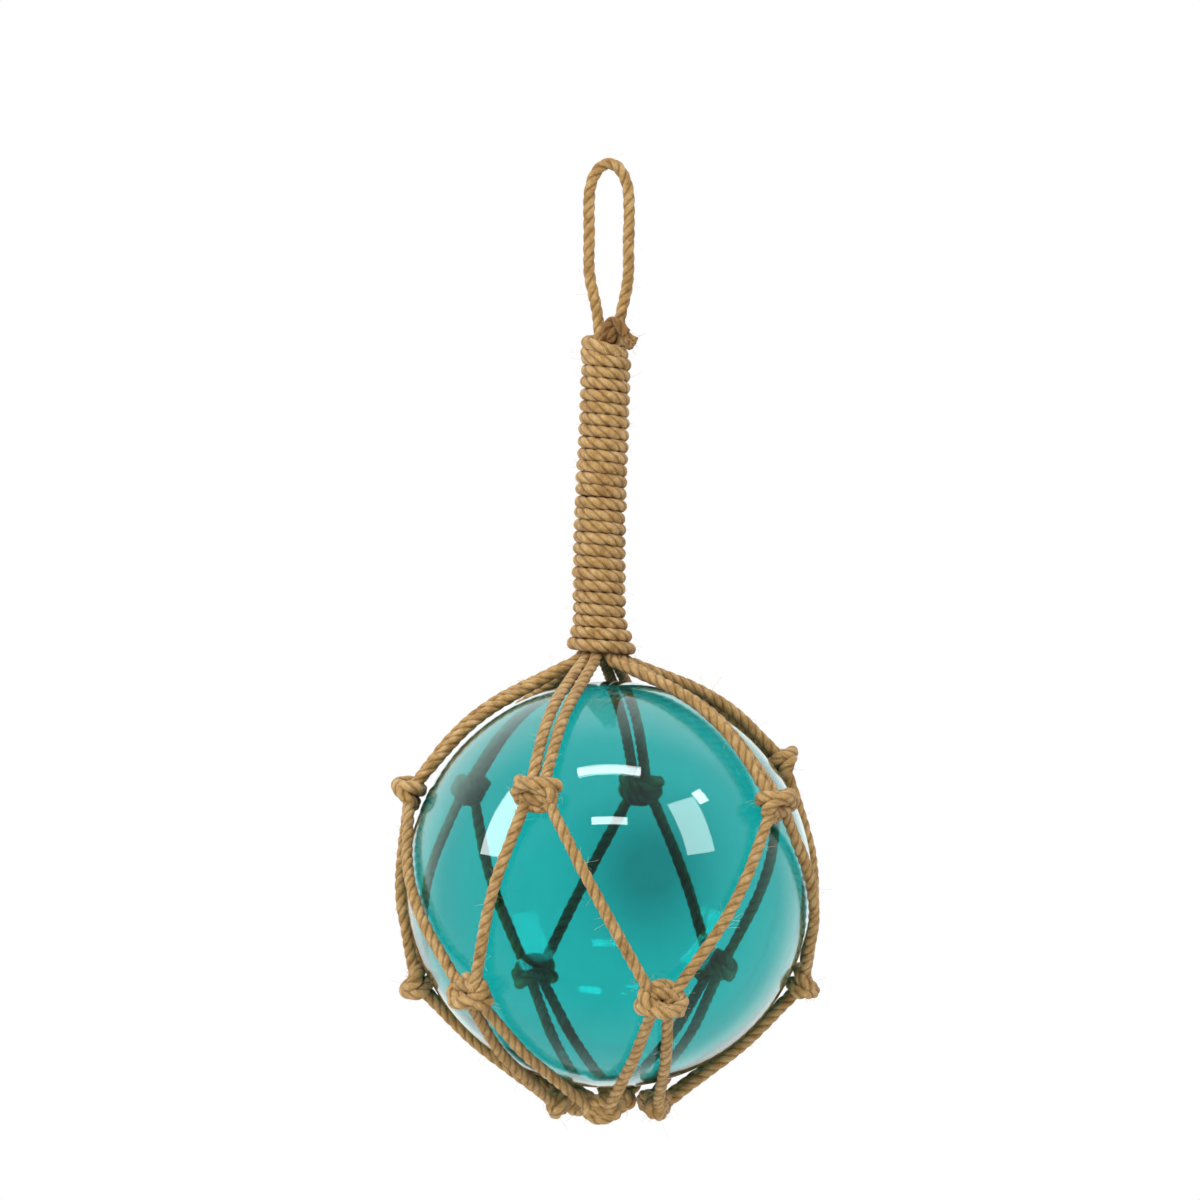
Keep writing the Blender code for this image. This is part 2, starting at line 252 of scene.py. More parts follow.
jute = rope_material("jute_three_strand_rope", "dfbc86", "bb9253", "835b2d", "452c12")
brown_jute = rope_material("jute_rope_darkened_end", "b5894c", "8f6733", "64431f", "36200f")

loose_fibre, fibre_tree, fibre_shader = new_material("jute_loose_fibre")
fibre_shader.inputs["Roughness"].default_value = 0.6
fibre_place = add_node(fibre_tree, "ShaderNodeTexCoord")
fibre_tones = add_node(fibre_tree, "ShaderNodeTexNoise", {"Scale": 60},
                       {"Vector": fibre_place.outputs["Object"]})
fibre_colours = add_node(fibre_tree, "ShaderNodeValToRGB", None, {"Fac": fibre_tones.outputs["Fac"]})
set_ramp(fibre_colours, [(0.4, "b89058"), (0.6, "ecd7ae")])
fibre_tree.links.new(fibre_colours.outputs["Color"], fibre_shader.inputs["Base Color"])

# %% [markdown]
# ## Sweeping a rope
# Three strands laid round each other give the rope its look: three lobes that turn about its
# middle once every lay. It could be three tubes, but strands press flat on each other, so
# one three-lobed section is swept along the path instead. Blender's curve does the sweep:
# the section is its bevel object, and the tilt of each path point turns it. A slow change of
# thickness and turn keeps it hand-made.

# %% Rope sweep
SECTION_POINTS = 24
PATH_STEP = 0.0007
STRAND_CENTRE = 0.29
STRAND_RADIUS = 0.71
# Waves are counted per metre of rope, and changes are shares of its radius and of a full turn
THICKNESS_WAVES = 110
THICKNESS_CHANGE = 0.07
LAY_WAVES = 50
LAY_CHANGE = 0.12
SEED_SPACING = 3.7


def section_reach(angle):
    """Return the outline of three strands pressed together, as a share of the rope's radius."""
    nearest = (angle + math.pi / 3) % (FULL_TURN / 3) - math.pi / 3
    across = STRAND_CENTRE * math.sin(nearest)
    return STRAND_CENTRE * math.cos(nearest) + math.sqrt(STRAND_RADIUS ** 2 - across ** 2)


section_data = bpy.data.curves.new("rope_section", "CURVE")
section_line = section_data.splines.new("POLY")
section_line.points.add(SECTION_POINTS - 1)
for index, point in enumerate(section_line.points):
    angle = FULL_TURN * index / SECTION_POINTS
    reach = section_reach(angle) * ROPE_RADIUS
    point.co = (reach * math.cos(angle), reach * math.sin(angle), 0, 1)
section_line.use_cyclic_u = True
rope_section = bpy.data.objects.new("rope_section", section_data)
bpy.context.scene.collection.objects.link(rope_section)


def smooth_path(points, step=PATH_STEP):
    """Return points about a step apart on a smooth curve through the given points."""
    ends = [points[0] * 2 - points[1]] + list(points) + [points[-1] * 2 - points[-2]]
    fine = []
    for before, start, end, after in zip(ends, ends[1:], ends[2:], ends[3:]):
        pieces = max(2, math.ceil((end - start).length / step))
        for piece in range(pieces):
            t = piece / pieces
            fine.append(0.5 * (2 * start + (end - before) * t
                               + (2 * before - 5 * start + 4 * end - after) * t * t
                               + (3 * start - 3 * end + after - before) * t ** 3))
    return fine + [Vector(points[-1])]


def mesh_of_curve(data):
    """Turn curve data into a mesh, as Blender shows it."""
    curve = bpy.data.objects.new(data.name, data)
    bpy.context.scene.collection.objects.link(curve)
    bpy.context.view_layer.update()
    depsgraph = bpy.context.evaluated_depsgraph_get()
    mesh = bpy.data.meshes.new_from_object(curve.evaluated_get(depsgraph))
    bpy.data.objects.remove(curve)
    return mesh


def rope_mesh(path, seed, thickness=1.0, taper=0.0):
    """Sweep rope along a path of close points, and scale its map's U to millimetres."""
    data = bpy.data.curves.new("rope", "CURVE")
    data.dimensions = "3D"
    data.bevel_mode = "OBJECT"
    data.bevel_object = rope_section
    data.use_fill_caps = True
    line = data.splines.new("POLY")
    line.points.add(len(path) - 1)
    run = 0
    for index, (point, place) in enumerate(zip(line.points, path)):
        if index:
            run += (place - path[index - 1]).length
        uneven = noise.noise(Vector((run * THICKNESS_WAVES, seed * SEED_SPACING, 0)))
        drift = noise.noise(Vector((run * LAY_WAVES, seed, 5)))
        point.co = (*place, 1)
        point.radius = thickness * (1 + THICKNESS_CHANGE * uneven) * (1 - taper * index / len(path))
        # Blender limits a point's tilt, so only the part of a turn is kept
        point.tilt = FULL_TURN * ((run / ROPE_LAY + LAY_CHANGE * drift) % 1)
    mesh = mesh_of_curve(data)
    rope_map = mesh.uv_layers[0]
    rope_map.name = "rope"
    for corner in rope_map.data:
        corner.uv.x *= run * 1000
    return mesh


HAIR_RADIUS = 0.00004
HAIR_LENGTH = 0.0065
HAIRS_PER_METRE = 560
HAIR_LEAN = 1.2
HAIR_CURL = 0.5
HAIR_ROOT = 0.75
HAIR_SHARES = (0, 0.3, 0.65, 1)


def hairs_mesh(paths, dice, per_metre, longest=HAIR_LENGTH):
    """Return thin fibres that stand off the rope along the paths, kept out of the glass."""
    data = bpy.data.curves.new("hairs", "CURVE")
    data.dimensions = "3D"
    data.bevel_depth = HAIR_RADIUS
    data.bevel_resolution = 0
    for path in paths:
        length = PATH_STEP * len(path)
        for _ in range(int(length * per_metre)):
            index = dice.randrange(1, len(path) - 1)
            along = (path[index + 1] - path[index - 1]).normalized()
            spin = Matrix.Rotation(dice.uniform(0, FULL_TURN), 3, along)
            side = (spin @ along.orthogonal()).normalized()
            lean = (along * dice.uniform(-HAIR_LEAN, HAIR_LEAN) + side * dice.uniform(0.25, 1)).normalized()
            curl = Vector([dice.uniform(-1, 1) for _ in range(3)]) * HAIR_CURL
            size = longest * dice.uniform(0.3, 1) ** 2
            root = path[index] + side * ROPE_RADIUS * HAIR_ROOT
            points = [root + lean * size * t + curl * size * t * t for t in HAIR_SHARES]
            if any((place - FLOAT_CENTRE).length < FLOAT_RADIUS + TOUCH_GAP for place in points[-2:]):
                continue
            hair = data.splines.new("POLY")
            hair.points.add(len(points) - 1)
            for point, place in zip(hair.points, points):
                point.co = (*place, 1)
    return mesh_of_curve(data)


def join_piece(name, meshes):
    """Join meshes, each with its material, into one piece at the origin."""
    parts = []
    for mesh, material in meshes:
        mesh.materials.clear()
        mesh.materials.append(material)
        mesh.shade_smooth()
        part = bpy.data.objects.new(name, mesh)
        bpy.context.scene.collection.objects.link(part)
        parts.append(part)
    with bpy.context.temp_override(active_object=parts[0], selected_editable_objects=parts):
        bpy.ops.object.join()
    parts[0].name = name
    return parts[0]


def dress(piece, node):
    """Let a piece stand for a CAD node, whose part it hides, and ride with the object."""
    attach(piece, "root")
    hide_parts(node)


# %% [markdown]
# ## The glass ball
# The bubble is blown, so its two surfaces are nearly concentric spheres. Each is a sphere
# primitive, and the inner one is turned inside out, because a wall's faces look away from
# the glass on both sides.

# %% Glass ball
GLASS_SEGMENTS = 128

bubble = bmesh.new()
bmesh.ops.create_uvsphere(bubble, u_segments=GLASS_SEGMENTS, v_segments=GLASS_SEGMENTS // 2,
                          radius=FLOAT_RADIUS)
inner = bmesh.ops.create_uvsphere(bubble, u_segments=GLASS_SEGMENTS, v_segments=GLASS_SEGMENTS // 2,
                                  radius=FLOAT_RADIUS - GLASS_WALL)
inner_faces = {face for vert in inner["verts"] for face in vert.link_faces}
bmesh.ops.reverse_faces(bubble, faces=list(inner_faces))
for face in bubble.faces:
    face.smooth = True
    face.material_index = 1 if face in inner_faces else 0
bmesh.ops.translate(bubble, verts=bubble.verts, vec=FLOAT_CENTRE)
glass_mesh = bpy.data.meshes.new("blown_glass_ball")
bubble.to_mesh(glass_mesh)
bubble.free()
glass_mesh.materials.append(clear_skin)
glass_mesh.materials.append(teal_lining)
glass_ball = bpy.data.objects.new("blown_glass_ball", glass_mesh)
bpy.context.scene.collection.objects.link(glass_ball)
dress(glass_ball, "glass_float")
print("glass faces", len(glass_mesh.polygons))

# %% [markdown]
# ## The net's plan
# Six pairs of cords leave the handle's foot. Each pair is tied in an upper knot, parts, meets
# its neighbours in the lower knots, and is tied again under the ball. Between knots a taut
# cord takes the shortest way: straight until it touches the ball, round it on a great
# circle, and straight off it again. The CAD cords follow the same plan.

# %% Knots and taut cords
# Bearings are in degrees, 0 at the front and 90 at the right, and heights from the ball's middle
UPPER_KNOTS = ((-90, 0.046), (-21, 0.049), (54, 0.042), (107, 0.060), (170, 0.046), (228, 0.047))
LOWER_KNOTS = ((-98, -0.050), (-44, -0.049), (15, -0.051), (95, -0.050), (145, -0.048), (204, -0.051))
BASE_BEARINGS = (-95, -9, 73, 122, 171, 218)
CROWN_BEARINGS = (-87, -27, 41, 99, 159, 217)
BASE_KNOT_DROP = 0.1095
BASE_RING_RADIUS = 0.0255
BASE_END_LENGTH = 0.005
CROWN_SLACK = 1.1
UPPER_CORD_STANDOFF = 0.0028
HANDLE_TOP_LEAN = 0.0014
HANDLE_BOW = 0.0035
HANDLE_BOW_SHARE = 0.75
PAIRS = len(UPPER_KNOTS)
SEAT_RADIUS = FLOAT_RADIUS + ROPE_RADIUS + TOUCH_GAP
# Shape of a knot, in rope diameters
KNOT_TURN_SHARE = 0.93
KNOT_BULGE = 1.1
BASE_KNOT_BULGE = 0.7
KNOT_TURN_HEIGHT = KNOT_TURN_SHARE * ROPE_DIAMETER
KNOT_RADIUS = FLOAT_RADIUS + KNOT_TURN_HEIGHT + ROPE_RADIUS
KNOT_HALF_WIDTH = HALF_PITCH + KNOT_BULGE * ROPE_DIAMETER
BASE_KNOT_HALF_WIDTH = HALF_PITCH + BASE_KNOT_BULGE * ROPE_DIAMETER
CROWN_RADIUS = CROWN_SLACK * HALF_PITCH / math.sin(math.pi / (2 * PAIRS))


def smooth_step(t):
    """Ease from 0 to 1 as t goes from 0 to 1."""
    t = min(max(t, 0), 1)
    return t * t * (3 - 2 * t)


def bearing_vector(bearing):
    """Return the level unit vector that points at a bearing in degrees, 0 at the front."""
    angle = math.radians(bearing)
    return Vector((math.sin(angle), -math.cos(angle), 0))


def handle_lean(drop):
    """Return how far the handle's middle stands from the axis at a share of its length."""
    bow = (1 - math.cos(math.pi * drop / HANDLE_BOW_SHARE)) / 2
    return -HANDLE_TOP_LEAN - HANDLE_BOW * bow


def taut_span(start, end, seat, steps=24):
    """Return points of a taut cord from start to end over a ball, measured from its centre."""
    sweep = start.angle(end)
    lift_start = math.acos(min(1, seat / start.length))
    lift_end = math.acos(min(1, seat / end.length))
    points = []
    for step in range(1, steps + 1):
        share = step / steps
        turned = sweep * share
        bend = max(0, lift_start - turned, lift_end - (sweep - turned))
        direction = start.normalized().slerp(end.normalized(), share)
        points.append(direction * seat / math.cos(bend))
    return points


# %% [markdown]
# ## The knot
# Both cords of a pair are tied together, and what shows is rope wound round them: two turns
# that cross in front, bulge out at both sides and lie flat against the glass behind. It is
# drawn as one closed ring that goes round twice. Its height follows half the angle, so the
# two turns swap places once, where they cross. Each cord's piece gets one of the two turns,
# cut where nobody sees it, at the back. Small random changes keep any two knots apart.

# %% Knot
KNOT_STEPS = 28
KNOT_LUMP = 0.0011
KNOT_THICKNESS = 1.12
KNOT_TWIST = 9
LUMPS_PER_METRE = 90
FRONT_PINCH = 0.35
REAR_BALANCE = 0.25
CROSSING_LIFT = 0.55
FRONT_REACH = 0.92
REAR_REACH = 0.97
KNOT_PROUD = 0.1
CORE_SHARES = (-1, -0.4, 0.4, 1)
CORE_WIDTH = 0.75
CORE_SAG = 1.15
CORE_DEPTH = 0.15


class Knot:
    """A knot of two cords: its place on the net, and the directions across, up and out."""

    def __init__(self, bearing, height, radius, half_width, rear_shift, spread, rise, dice):
        level = bearing_vector(bearing)
        reach = math.sqrt(radius ** 2 - height ** 2)
        self.centre = level * reach + Vector((0, 0, height))
        self.out = self.centre.normalized()
        across = bearing_vector(bearing + 90)
        self.turned = Matrix.Rotation(math.radians(dice.uniform(-KNOT_TWIST, KNOT_TWIST)), 3, self.out)
        self.cord_across = across
        self.across = self.turned @ across
        self.up = self.out.cross(self.across)
        self.half_width = half_width * dice.uniform(0.95, 1.03)
        self.rear_shift = rear_shift
        self.rise = rise
        self.spread = ROPE_RADIUS * spread * dice.uniform(0.92, 1.08)
        self.hand = dice.choice((-1, 1))

    def cord_point(self, side):
        """Return where the cord on this side passes through, measured from the float's centre."""
        return self.centre + self.cord_across * side * HALF_PITCH

    def turn(self, side):
        """Return one of the two turns, from the back round the front to the back again."""
        first = -math.pi / 2 if side > 0 else 3 * math.pi / 2
        points = []
        for step in range(KNOT_STEPS + 1):
            angle = first + FULL_TURN * step / KNOT_STEPS
            front = max(0, math.sin(angle))
            rear = max(0, -math.sin(angle))
            across = self.half_width * math.cos(angle) * self.hand
            up = self.spread * math.cos((angle + math.pi / 2) / 2) * (1 - FRONT_PINCH * front)
            up += self.rear_shift * (rear ** 2 - REAR_BALANCE)
            over = CROSSING_LIFT * side * ROPE_RADIUS * front ** 4
            out = KNOT_TURN_HEIGHT * (FRONT_REACH * self.rise * front - REAR_REACH * rear ** 0.7)
            out += self.rise * over + KNOT_PROUD * ROPE_RADIUS
            place = self.centre + self.across * across + self.up * up + self.out * out
            lump = noise.noise_vector(place * LUMPS_PER_METRE) * KNOT_LUMP
            points.append(FLOAT_CENTRE + place + lump)
        return points

    def core(self):
        """Return the short inner strand that fills the knot on its parted side."""
        points = []
        for share in CORE_SHARES:
            across = self.across * share * CORE_WIDTH * self.half_width
            sag = CORE_SAG * self.rear_shift * (1.25 - 0.35 * share * share)
            place = self.centre + across + self.up * sag - self.out * CORE_DEPTH * ROPE_DIAMETER
            points.append(FLOAT_CENTRE + place)
        return points


knot_dice = random.Random(4)
REAR_SHIFT = 0.5 * ROPE_DIAMETER
KNOT_SPREAD = 1.38
BASE_KNOT_SPREAD = 1.0
BASE_KNOT_RISE = 0.5
upper_knots = [Knot(bearing, height, KNOT_RADIUS, KNOT_HALF_WIDTH, -REAR_SHIFT, KNOT_SPREAD, 1,
                    knot_dice)
               for bearing, height in UPPER_KNOTS]
lower_knots = [Knot(bearing, height, KNOT_RADIUS, KNOT_HALF_WIDTH, REAR_SHIFT, KNOT_SPREAD, 1,
                    knot_dice)
               for bearing, height in LOWER_KNOTS]
base_knots = [Knot(bearing, -BASE_KNOT_DROP, math.hypot(BASE_RING_RADIUS, BASE_KNOT_DROP),
                   BASE_KNOT_HALF_WIDTH, REAR_SHIFT / 2, BASE_KNOT_SPREAD,
                   BASE_KNOT_RISE, knot_dice) for bearing in BASE_BEARINGS]
print("knots", len(upper_knots) + len(lower_knots) + len(base_knots))

# %% [markdown]
# ## The net's cords
# Each cord is one length of rope, from under the handle's last turn to its cut end below the
# ball, together with its turn of each knot. The ropes' middles are read through a smooth
# curve, so a cord bends gently into its knots.

# %% Cords
NEAR_CORD_SHARE = 0.3
CORD_TUCK_SHARE = 0.35
CORD_TUCK_HEIGHT = 0.0042
CORD_SEED = 100
SEED_RANGE = 50

cord_pieces = []
for pair in range(PAIRS):
    for side in (-1, 1):
        dice = random.Random(CORD_SEED + 2 * pair + side)
        upper_knot = upper_knots[pair]
        lower_knot = lower_knots[(pair + 1) % PAIRS] if side > 0 else lower_knots[pair]
        base_knot = base_knots[pair]
        crown_across = bearing_vector(CROWN_BEARINGS[pair] + 90)
        crown = bearing_vector(CROWN_BEARINGS[pair]) * math.sqrt(CROWN_RADIUS ** 2 - HALF_PITCH ** 2)
        crown += crown_across * side * HALF_PITCH
        crown += Vector((handle_lean(1), 0, HANDLE_FOOT - FLOAT_CENTRE.z - ROPE_RADIUS - TOUCH_GAP))
        at_upper = upper_knot.cord_point(side)
        at_lower = lower_knot.cord_point(-side)
        at_base = base_knot.cord_point(side)
        tucked = crown + Vector((-CORD_TUCK_SHARE * (crown.x - handle_lean(1)),
                                 -CORD_TUCK_SHARE * crown.y, CORD_TUCK_HEIGHT))
        places = [tucked, crown]
        standoff = UPPER_CORD_STANDOFF * (NEAR_CORD_SHARE if side > 0 else 1)
        places += taut_span(crown, at_upper, SEAT_RADIUS + standoff)
        places += taut_span(at_upper, at_lower, SEAT_RADIUS)
        places += taut_span(at_lower, at_base, SEAT_RADIUS)
        places.append(at_base - base_knot.out.cross(base_knot.cord_across) * BASE_END_LENGTH)
        paths = [smooth_path([FLOAT_CENTRE + place for place in places])]
        for knot, knot_side in ((upper_knot, side), (lower_knot, -side), (base_knot, side)):
            paths.append(smooth_path(knot.turn(knot_side)))
            if knot_side > 0:
                paths.append(smooth_path(knot.core()))
        meshes = [(rope_mesh(path, dice.random() * SEED_RANGE,
                             1 if path is paths[0] else KNOT_THICKNESS), jute)
                  for path in paths]
        meshes.append((hairs_mesh(paths, dice, HAIRS_PER_METRE), loose_fibre))
        node = "net_cord_%d_%s" % (pair + 1, "right" if side > 0 else "left")
        cord_piece = join_piece(node + "_jute", meshes)
        dress(cord_piece, node)
        cord_pieces.append(cord_piece)
print("cords", len(cord_pieces), "faces", sum(len(piece.data.polygons) for piece in cord_pieces))

# %% [markdown]
# ## The wound handle
# One rope is wound tightly, so its path is a helix with a pitch of one rope. A helix of
# perfect turns looks machined, so each turn's radius and height wander a little. The last
# turns widen over the cords, and at the top three short strands slant over the first turns.

# %% Handle
HANDLE_DIAMETER = 0.0246
HANDLE_FOOT_COVER = 0.0008
TURN_STEPS = 60
SUNK_TURNS = 1.5
WINDING_THICKNESS = 1.06
HANDLE_SWELL = 0.0009
FLARE_START_TURNS = 3.3
FLARE_LENGTH_TURNS = 3.4
SURFACING_TURNS = 0.5
SUNK_SHARE = 0.75
TURN_WANDER = 0.0004
TURN_RIPPLE = 0.00025
TURN_SAG = 0.0007
CROSSING_STEPS = 40
CROSSING_PROUD = 0.12

handle_dice = random.Random(11)
turns = math.floor(HANDLE_LENGTH / ROPE_DIAMETER)
pitch = HANDLE_LENGTH / turns
wound_radius = HANDLE_DIAMETER / 2 - ROPE_RADIUS
foot_radius = CROWN_RADIUS + HANDLE_FOOT_COVER
winding = []
for step in range((turns - 1) * TURN_STEPS + 1):
    turn = step / TURN_STEPS
    drop = (turn + 0.5) / turns
    flare = smooth_step((drop * turns - turns + FLARE_START_TURNS) / FLARE_LENGTH_TURNS)
    wander = noise.noise(Vector((turn * 0.9, 2, 0)))
    ripple = noise.noise(Vector((turn * 3.1, 9, 0)))
    radius = wound_radius + flare * (foot_radius - wound_radius) + HANDLE_SWELL * smooth_step(drop)
    radius += TURN_WANDER * wander + TURN_RIPPLE * ripple
    surfaced = smooth_step((turn - SUNK_TURNS) / SURFACING_TURNS + 1)
    radius -= SUNK_SHARE * ROPE_DIAMETER * (1 - surfaced)
    place = bearing_vector(90 + 360 * turn) * radius
    sag = TURN_SAG * noise.noise(Vector((turn * 1.3, 5, 0)))
    winding.append(Vector((place.x + handle_lean(drop), place.y, HANDLE_TOP - drop * HANDLE_LENGTH + sag)))


def crossing_strand(start_bearing, end_bearing, start_drop, end_drop, start_sunk, end_sunk):
    """Return a strand that slants across the handle's top, sunk at its ends, in rope diameters."""
    points = []
    for step in range(CROSSING_STEPS + 1):
        share = step / CROSSING_STEPS
        sunk = start_sunk * (1 - share) ** 4 + end_sunk * share ** 4
        place = bearing_vector(start_bearing + (end_bearing - start_bearing) * share)
        place *= wound_radius + (CROSSING_PROUD - sunk) * ROPE_DIAMETER
        drop = start_drop + (end_drop - start_drop) * smooth_step(share)
        points.append(Vector((place.x - HANDLE_TOP_LEAN, place.y, HANDLE_TOP - drop * ROPE_DIAMETER)))
    return points


upper_strand = crossing_strand(-150, 100, 0.4, 1.75, 0.4, 0.5)
lower_strand = crossing_strand(-190, 25, 1.0, 2.0, 0.3, 0.7)
rear_strand = crossing_strand(60, 230, 0.55, 1.5, 0.5, 0.5)
handle_paths = [smooth_path(winding), smooth_path(upper_strand), smooth_path(lower_strand),
                smooth_path(rear_strand)]
handle_meshes = [(rope_mesh(path, 3 + number, WINDING_THICKNESS), jute)
                 for number, path in enumerate(handle_paths)]
handle_meshes.append((hairs_mesh(handle_paths, handle_dice, HAIRS_PER_METRE), loose_fibre))
handle_piece = join_piece("wrapped_handle_rope", handle_meshes)
dress(handle_piece, "wrapped_handle")
print("handle turns", turns, "faces", len(handle_piece.data.polygons))

# %% [markdown]
# ## The hanging loop
# The loop is the same rope, doubled over. It hangs drawn tight over its peg, so it is long
# and narrow, with a tight bend on top, and its legs close in on the handle. Its end is tied
# off at the right leg in a small knot, browned by handling, and leaves as a frayed tail.

# %% Loop
LOOP_EYE_WIDTH = 0.0138
LOOP_ARCH_HEIGHT = 0.018
LOOP_TAPER_LENGTH = 0.034
LOOP_LEG_GAP = 0.0036
ARCH_STEPS = 16
LEG_TUCK = 0.03
LEG_STEPS = 16
LOOP_WAVER = 0.0005
LOOP_THICKNESS = 1.02
END_THICKNESS = 0.98
FILL_THICKNESS = 0.9
TAIL_THICKNESS = 0.62
TAIL_TAPER = 0.1
TUFT_HAIRS_PER_METRE = 9000
TUFT_HAIR_LENGTH = 0.0035

loop_dice = random.Random(21)


def loop_half_width(height):
    """Return how far the loop's rope runs from its middle at a height."""
    widest = LOOP_EYE_WIDTH / 2 + ROPE_RADIUS
    narrowest = LOOP_LEG_GAP / 2 + ROPE_RADIUS
    taper = smooth_step((HANDLE_TOP + LOOP_TAPER_LENGTH - height) / LOOP_TAPER_LENGTH)
    return widest + (narrowest - widest) * taper


def loop_point(side, height):
    """Return a point on a leg of the loop, with the small waver of a soft rope."""
    waver = LOOP_WAVER * noise.noise(Vector((height * 60, side * 3.3, 1)))
    return Vector((side * loop_half_width(height) + waver, waver, height))


spring = ROPE_RADIUS - LOOP_ARCH_HEIGHT
leg_foot = HANDLE_TOP - LEG_TUCK
leg = [leg_foot + (spring - leg_foot) * step / LEG_STEPS for step in range(LEG_STEPS)]
arch = []
for step in range(ARCH_STEPS + 1):
    angle = math.pi * step / ARCH_STEPS
    across = -math.cos(angle) * loop_half_width(spring)
    arch.append(Vector((across, 0, spring + math.sin(angle) * LOOP_ARCH_HEIGHT)))
loop_places = [loop_point(-1, height) for height in leg] + arch
loop_places += [loop_point(1, height) for height in reversed(leg)]
loop_path = smooth_path(loop_places)

# Places in millimetres, right, back and up, measured from the middle of the handle's top
END_ROUTE = ((-1.8, -2.5, -2.5), (-1.2, -4.2, 1.5), (-0.2, -4.6, 4.6), (1.8, -5.0, 6.2), (4.6, -6.0, 5.0),
             (6.6, -6.4, 2.6), (8.2, -6.2, 0.2))
FILL_ROUTE = ((3.6, -3.0, 5.0), (2.2, -4.4, 2.6), (1.2, -4.6, -0.5), (0.6, -3.6, -3.0))
TAIL_ROUTES = (((8.0, -6.2, 0.4), (10.5, -6.8, -1.6), (13.6, -7.4, -3.2)),
               ((7.4, -6.0, 1.0), (8.8, -7.2, -3.0), (10.8, -8.0, -7.4)),
               ((7.8, -5.8, 0.6), (10.2, -6.2, -3.4), (12.4, -6.6, -5.6)))


def route_path(route):
    """Return a smooth path through places given in millimetres from the handle's top."""
    return smooth_path([Vector((x, y, z)) / 1000 + Vector((0, 0, HANDLE_TOP)) for x, y, z in route])


end_path = route_path(END_ROUTE)
fill_path = route_path(FILL_ROUTE)
tail_paths = [route_path(route) for route in TAIL_ROUTES]
loop_meshes = [(rope_mesh(loop_path, 7, LOOP_THICKNESS), jute),
               (rope_mesh(end_path, 8, END_THICKNESS), brown_jute),
               (rope_mesh(fill_path, 6, FILL_THICKNESS), brown_jute)]
loop_meshes += [(rope_mesh(path, 9 + number, TAIL_THICKNESS, TAIL_TAPER), brown_jute)
                for number, path in enumerate(tail_paths)]
loop_meshes.append((hairs_mesh([loop_path, end_path], loop_dice, HAIRS_PER_METRE), loose_fibre))
tuft = [path[len(path) // 2:] for path in tail_paths]
loop_meshes.append((hairs_mesh(tuft, loop_dice, TUFT_HAIRS_PER_METRE, TUFT_HAIR_LENGTH), loose_fibre))
loop_piece = join_piece("hanging_loop_rope", loop_meshes)
dress(loop_piece, "hanging_loop")
print("loop faces", len(loop_piece.data.polygons))

bpy.data.objects.remove(rope_section)

# %% [markdown]
# ## The studio
# The float hangs free before a white sweep, with a pale floor far below, out of the picture.
# Glass shows what stands around it: the white sweep behind, a greyer room at the sides and a
# dark one behind the camera, which gives the ball its deep middle. Two softboxes, a window
# and two strips leave their reflections on its upper half and, upside down, on its lower
# half, from the far wall. A large fill above the camera lights the ropes, and like the floor
# it is kept out of the glass.

# %% Floor
FLOOR_DROP = 1.25
FLOOR_SIZE = 5

floor_mesh = bpy.data.meshes.new("floor")
floor_shape = bmesh.new()
bmesh.ops.create_grid(floor_shape, size=FLOOR_SIZE / 2)
bmesh.ops.translate(floor_shape, verts=floor_shape.verts, vec=(0, 0, -FLOOR_DROP))
floor_shape.to_mesh(floor_mesh)
floor_shape.free()
floor_paint, floor_tree, floor_shader = new_material("matt_white_sweep")
floor_shader.inputs["Base Color"].default_value = linear("f4f4f2")
floor_shader.inputs["Roughness"].default_value = 0.9
floor_mesh.materials.append(floor_paint)
floor = bpy.data.objects.new("floor", floor_mesh)
bpy.context.scene.collection.objects.link(floor)
floor.visible_glossy = False
floor.visible_transmission = False

# %% World
SWEEP_STRENGTH = 1.05
SEEN_THROUGH_GLASS = 0.42
HEIGHT_WEIGHT = 0.3
# Brightness of the room, from the front (0) to behind the float (1)
ROOM_STOPS = ((0.0, 0.07), (0.14, 0.10), (0.36, 0.40), (0.62, 0.50), (0.84, 1.0))

world = bpy.data.worlds.new("studio")
bpy.context.scene.world = world
world.use_nodes = True
sky = world.node_tree
background = sky.nodes["Background"]
background.inputs["Color"].default_value = (1, 1, 1, 1)
around = add_node(sky, "ShaderNodeTexCoord")
direction = add_node(sky, "ShaderNodeSeparateXYZ", None, {"Vector": around.outputs["Generated"]})
above = add_node(sky, "ShaderNodeMath", {1: HEIGHT_WEIGHT}, {0: direction.outputs["Z"]},
                 operation="MULTIPLY")
behind = add_node(sky, "ShaderNodeMath", None,
                  {0: direction.outputs["Y"], 1: above.outputs[0]}, operation="ADD")
share = add_node(sky, "ShaderNodeMapRange", {"From Min": -1, "From Max": 1}, {"Value": behind.outputs[0]})
room = add_node(sky, "ShaderNodeValToRGB", None, {"Fac": share.outputs["Result"]})
room.color_ramp.interpolation = "EASE"
while len(room.color_ramp.elements) < len(ROOM_STOPS):
    room.color_ramp.elements.new(0.5)
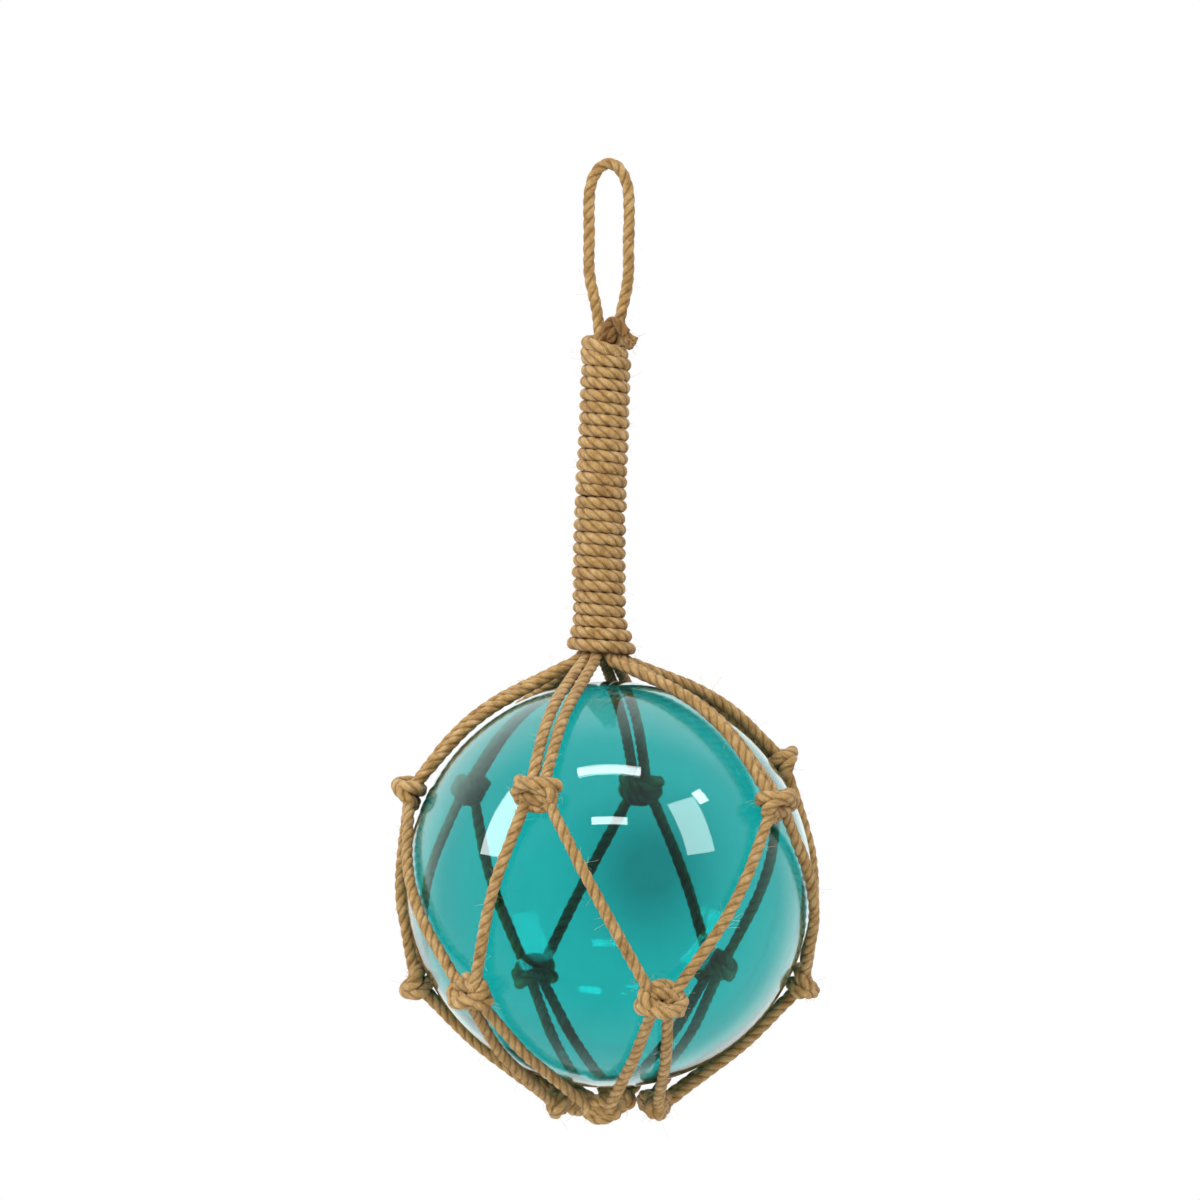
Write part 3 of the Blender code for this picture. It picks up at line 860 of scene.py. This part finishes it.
for element, (position, level) in zip(room.color_ramp.elements, ROOM_STOPS):
    element.position = position
    element.color = (level, level, level, 1)
dimmed = add_node(sky, "ShaderNodeMath", {1: SWEEP_STRENGTH}, {0: room.outputs["Color"]},
                  operation="MULTIPLY")
seen = add_node(sky, "ShaderNodeLightPath")
through = add_node(sky, "ShaderNodeMath", {1: SEEN_THROUGH_GLASS},
                   {0: seen.outputs["Is Transmission Ray"]}, operation="MULTIPLY")
lifted = add_node(sky, "ShaderNodeMath", None,
                  {0: dimmed.outputs[0], 1: through.outputs[0]}, operation="MAXIMUM")
white = add_node(sky, "ShaderNodeMix", {"B": 1.0},
                 {"Factor": seen.outputs["Is Camera Ray"], "A": lifted.outputs[0]})
sky.links.new(white.outputs["Result"], background.inputs["Strength"])

# %% Softboxes
FILL_WATTS = 48
# Name, direction from the ball, distance, width, height and power in watts
SOFTBOXES = (
    ("fill_above_camera", (-0.25, -0.85, 0.45), 3.2, 2.4, 2.4, FILL_WATTS),
    ("softbox_left", (-0.82, -0.31, 0.48), 3.0, 1.0, 1.6, 36),
    ("softbox_right", (0.70, -0.50, 0.51), 3.0, 0.9, 1.5, 20),
    ("window_right", (0.695, -0.236, 0.679), 3.0, 0.35, 0.35, 4),
    ("strip_overhead", (0, -0.34, 0.94), 3.0, 1.58, 0.31, 16),
    ("strip_front", (0, -0.785, 0.62), 3.4, 1.13, 0.26, 9),
)
for name, direction, distance, width, height, watts in SOFTBOXES:
    light_data = bpy.data.lights.new(name, "AREA")
    light_data.shape = "RECTANGLE"
    light_data.size = width
    light_data.size_y = height
    light_data.energy = watts
    light = bpy.data.objects.new(name, light_data)
    bpy.context.scene.collection.objects.link(light)
    light.location = FLOAT_CENTRE + Vector(direction).normalized() * distance
    light.rotation_euler = (FLOAT_CENTRE - light.location).to_track_quat("-Z", "Y").to_euler()
    light.visible_camera = False
    in_the_glass = name != "fill_above_camera"
    light.visible_glossy = in_the_glass
    light.visible_transmission = in_the_glass
bpy.context.scene.view_settings.view_transform = "Standard"
print("lights", len(SOFTBOXES))
